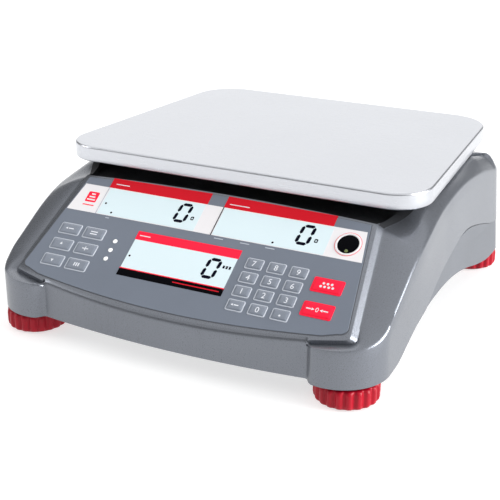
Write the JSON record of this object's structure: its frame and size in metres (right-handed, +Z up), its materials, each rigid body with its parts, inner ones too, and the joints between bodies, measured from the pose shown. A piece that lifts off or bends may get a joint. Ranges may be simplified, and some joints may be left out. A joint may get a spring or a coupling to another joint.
{
  "type": "counting scale",
  "caption": "Bench counting scale with a steel pan, a sloping keypad console with two display windows, and a levelling foot at each corner.",
  "frame": {"origin": "on the surface the feet stand on, at the centre of the overall footprint", "axes": "+X to the user's right, +Y to the back of the scale, +Z up"},
  "size_m": [0.3064, 0.3216, 0.1225],
  "materials": {
    "housing": "metallic grey paint, satin",
    "casting": "grey powder paint",
    "fastener": "zinc plated",
    "dark_fastener": "black oxide",
    "insert": "plain",
    "overlay": "printed film, fine texture",
    "badge": "gloss",
    "window": "clear",
    "lcd": "lit",
    "lamp": "translucent white",
    "level_body": "gloss black",
    "level_liquid": "tinted liquid under clear cover",
    "board": "solder mask",
    "module": "plain",
    "battery": "plain",
    "black_plastic": "plain",
    "port": "plated",
    "cell": "clear anodised",
    "platform": "as cast",
    "rubber": "matt",
    "pan": "fine brushed stainless steel",
    "key": "embossed film",
    "red_key": "embossed film",
    "wheel": "semi gloss"
  },
  "bodies": {
    "base": {"base_casting": "casting", "top_housing": "housing", "housing_screws": "fastener", "foot_inserts": "insert", "keypad_overlay": "overlay", "badge_plate": "badge", "window_upper": "window", "window_lower": "window", "lcd_upper": "lcd", "lcd_lower": "lcd", "status_lamps": "lamp", "level_cup": "level_body", "level_glass": "level_liquid", "display_board": "board", "board_screws": "fastener", "main_board": "board", "power_supply": "module", "battery": "battery", "power_inlet": "black_plastic", "serial_port": "port", "load_cell": "cell", "load_cell_bolts": "dark_fastener", "overload_stop": "fastener"},
    "platform": {"platform_frame": "platform", "platform_bolts": "dark_fastener", "platform_cushions": "rubber"},
    "pan": {"pan": "pan"},
    "battery_cover": {"battery_cover": "black_plastic"},
    "key_fn_1": {"key_fn_1": "key"},
    "key_fn_2": {"key_fn_2": "key"},
    "key_fn_3": {"key_fn_3": "key"},
    "key_fn_4": {"key_fn_4": "key"},
    "key_fn_5": {"key_fn_5": "key"},
    "key_fn_6": {"key_fn_6": "key"},
    "key_0": {"key_0": "key"},
    "key_1": {"key_1": "key"},
    "key_2": {"key_2": "key"},
    "key_3": {"key_3": "key"},
    "key_4": {"key_4": "key"},
    "key_5": {"key_5": "key"},
    "key_6": {"key_6": "key"},
    "key_7": {"key_7": "key"},
    "key_8": {"key_8": "key"},
    "key_9": {"key_9": "key"},
    "key_clear": {"key_clear": "key"},
    "key_point": {"key_point": "key"},
    "key_sample": {"key_sample": "red_key"},
    "key_tare": {"key_tare": "red_key"},
    "foot_front_left": {"pad_front_left": "rubber"},
    "adjuster_front_left": {"wheel_front_left": "wheel", "stud_front_left": "fastener"},
    "foot_front_right": {"pad_front_right": "rubber"},
    "adjuster_front_right": {"wheel_front_right": "wheel", "stud_front_right": "fastener"},
    "foot_rear_left": {"pad_rear_left": "rubber"},
    "adjuster_rear_left": {"wheel_rear_left": "wheel", "stud_rear_left": "fastener"},
    "foot_rear_right": {"pad_rear_right": "rubber"},
    "adjuster_rear_right": {"wheel_rear_right": "wheel", "stud_rear_right": "fastener"}
  },
  "joints": [
    {"name": "platform_weighing", "type": "slide", "parent": "base", "child": "platform", "axis": [0, 0, 1], "range_m": [-0.0006, 0], "stiffness_N_per_m": 500000, "springref_m": 0.0001, "deforming": ["load_cell"]},
    {"name": "pan_lift", "type": "slide", "parent": "platform", "child": "pan", "axis": [0, 0, 1], "range_m": [0, 0.06]},
    {"name": "battery_cover_pull", "type": "slide", "parent": "base", "child": "battery_cover", "axis": [0, 0, -1], "range_m": [0, 0.03]},
    {"name": "key_fn_1_press", "type": "slide", "parent": "base", "child": "key_fn_1", "axis": [0, 0.5678, -0.8231], "range_m": [0, 0.0006], "stiffness_N_per_m": 2500, "springref_m": -0.0002},
    {"name": "key_fn_2_press", "type": "slide", "parent": "base", "child": "key_fn_2", "axis": [0, 0.5678, -0.8231], "range_m": [0, 0.0006], "stiffness_N_per_m": 2500, "springref_m": -0.0002},
    {"name": "key_fn_3_press", "type": "slide", "parent": "base", "child": "key_fn_3", "axis": [0, 0.5678, -0.8231], "range_m": [0, 0.0006], "stiffness_N_per_m": 2500, "springref_m": -0.0002},
    {"name": "key_fn_4_press", "type": "slide", "parent": "base", "child": "key_fn_4", "axis": [0, 0.5678, -0.8231], "range_m": [0, 0.0006], "stiffness_N_per_m": 2500, "springref_m": -0.0002},
    {"name": "key_fn_5_press", "type": "slide", "parent": "base", "child": "key_fn_5", "axis": [0, 0.5678, -0.8231], "range_m": [0, 0.0006], "stiffness_N_per_m": 2500, "springref_m": -0.0002},
    {"name": "key_fn_6_press", "type": "slide", "parent": "base", "child": "key_fn_6", "axis": [0, 0.5678, -0.8231], "range_m": [0, 0.0006], "stiffness_N_per_m": 2500, "springref_m": -0.0002},
    {"name": "key_0_press", "type": "slide", "parent": "base", "child": "key_0", "axis": [0, 0.5678, -0.8231], "range_m": [0, 0.0006], "stiffness_N_per_m": 2500, "springref_m": -0.0002},
    {"name": "key_1_press", "type": "slide", "parent": "base", "child": "key_1", "axis": [0, 0.5678, -0.8231], "range_m": [0, 0.0006], "stiffness_N_per_m": 2500, "springref_m": -0.0002},
    {"name": "key_2_press", "type": "slide", "parent": "base", "child": "key_2", "axis": [0, 0.5678, -0.8231], "range_m": [0, 0.0006], "stiffness_N_per_m": 2500, "springref_m": -0.0002},
    {"name": "key_3_press", "type": "slide", "parent": "base", "child": "key_3", "axis": [0, 0.5678, -0.8231], "range_m": [0, 0.0006], "stiffness_N_per_m": 2500, "springref_m": -0.0002},
    {"name": "key_4_press", "type": "slide", "parent": "base", "child": "key_4", "axis": [0, 0.5678, -0.8231], "range_m": [0, 0.0006], "stiffness_N_per_m": 2500, "springref_m": -0.0002},
    {"name": "key_5_press", "type": "slide", "parent": "base", "child": "key_5", "axis": [0, 0.5678, -0.8231], "range_m": [0, 0.0006], "stiffness_N_per_m": 2500, "springref_m": -0.0002},
    {"name": "key_6_press", "type": "slide", "parent": "base", "child": "key_6", "axis": [0, 0.5678, -0.8231], "range_m": [0, 0.0006], "stiffness_N_per_m": 2500, "springref_m": -0.0002},
    {"name": "key_7_press", "type": "slide", "parent": "base", "child": "key_7", "axis": [0, 0.5678, -0.8231], "range_m": [0, 0.0006], "stiffness_N_per_m": 2500, "springref_m": -0.0002},
    {"name": "key_8_press", "type": "slide", "parent": "base", "child": "key_8", "axis": [0, 0.5678, -0.8231], "range_m": [0, 0.0006], "stiffness_N_per_m": 2500, "springref_m": -0.0002},
    {"name": "key_9_press", "type": "slide", "parent": "base", "child": "key_9", "axis": [0, 0.5678, -0.8231], "range_m": [0, 0.0006], "stiffness_N_per_m": 2500, "springref_m": -0.0002},
    {"name": "key_clear_press", "type": "slide", "parent": "base", "child": "key_clear", "axis": [0, 0.5678, -0.8231], "range_m": [0, 0.0006], "stiffness_N_per_m": 2500, "springref_m": -0.0002},
    {"name": "key_point_press", "type": "slide", "parent": "base", "child": "key_point", "axis": [0, 0.5678, -0.8231], "range_m": [0, 0.0006], "stiffness_N_per_m": 2500, "springref_m": -0.0002},
    {"name": "key_sample_press", "type": "slide", "parent": "base", "child": "key_sample", "axis": [0, 0.5678, -0.8231], "range_m": [0, 0.0006], "stiffness_N_per_m": 2500, "springref_m": -0.0002},
    {"name": "key_tare_press", "type": "slide", "parent": "base", "child": "key_tare", "axis": [0, 0.5678, -0.8231], "range_m": [0, 0.0006], "stiffness_N_per_m": 2500, "springref_m": -0.0002},
    {"name": "foot_front_left_height", "type": "slide", "parent": "base", "child": "foot_front_left", "axis": [0, 0, 1], "range_m": [-0.0075, 0]},
    {"name": "adjuster_front_left_turn", "type": "hinge", "parent": "foot_front_left", "child": "adjuster_front_left", "pos_m": [-0.1273, -0.1354, 0.008], "axis": [0, 0, 1], "range_deg": [-2160, 0]},
    {"name": "foot_front_right_height", "type": "slide", "parent": "base", "child": "foot_front_right", "axis": [0, 0, 1], "range_m": [-0.0075, 0]},
    {"name": "adjuster_front_right_turn", "type": "hinge", "parent": "foot_front_right", "child": "adjuster_front_right", "pos_m": [0.1273, -0.1354, 0.008], "axis": [0, 0, 1], "range_deg": [-2160, 0]},
    {"name": "foot_rear_left_height", "type": "slide", "parent": "base", "child": "foot_rear_left", "axis": [0, 0, 1], "range_m": [-0.0075, 0]},
    {"name": "adjuster_rear_left_turn", "type": "hinge", "parent": "foot_rear_left", "child": "adjuster_rear_left", "pos_m": [-0.1273, 0.1354, 0.008], "axis": [0, 0, 1], "range_deg": [-2160, 0]},
    {"name": "foot_rear_right_height", "type": "slide", "parent": "base", "child": "foot_rear_right", "axis": [0, 0, 1], "range_m": [-0.0075, 0]},
    {"name": "adjuster_rear_right_turn", "type": "hinge", "parent": "foot_rear_right", "child": "adjuster_rear_right", "pos_m": [0.1273, 0.1354, 0.008], "axis": [0, 0, 1], "range_deg": [-2160, 0]}
  ],
  "couplings": [
    {"joint": "adjuster_front_left_turn", "follows": "foot_front_left_height", "rad_per_m": 5026.5},
    {"joint": "adjuster_front_right_turn", "follows": "foot_front_right_height", "rad_per_m": 5026.5},
    {"joint": "adjuster_rear_left_turn", "follows": "foot_rear_left_height", "rad_per_m": 5026.5},
    {"joint": "adjuster_rear_right_turn", "follows": "foot_rear_right_height", "rad_per_m": 5026.5}
  ]
}
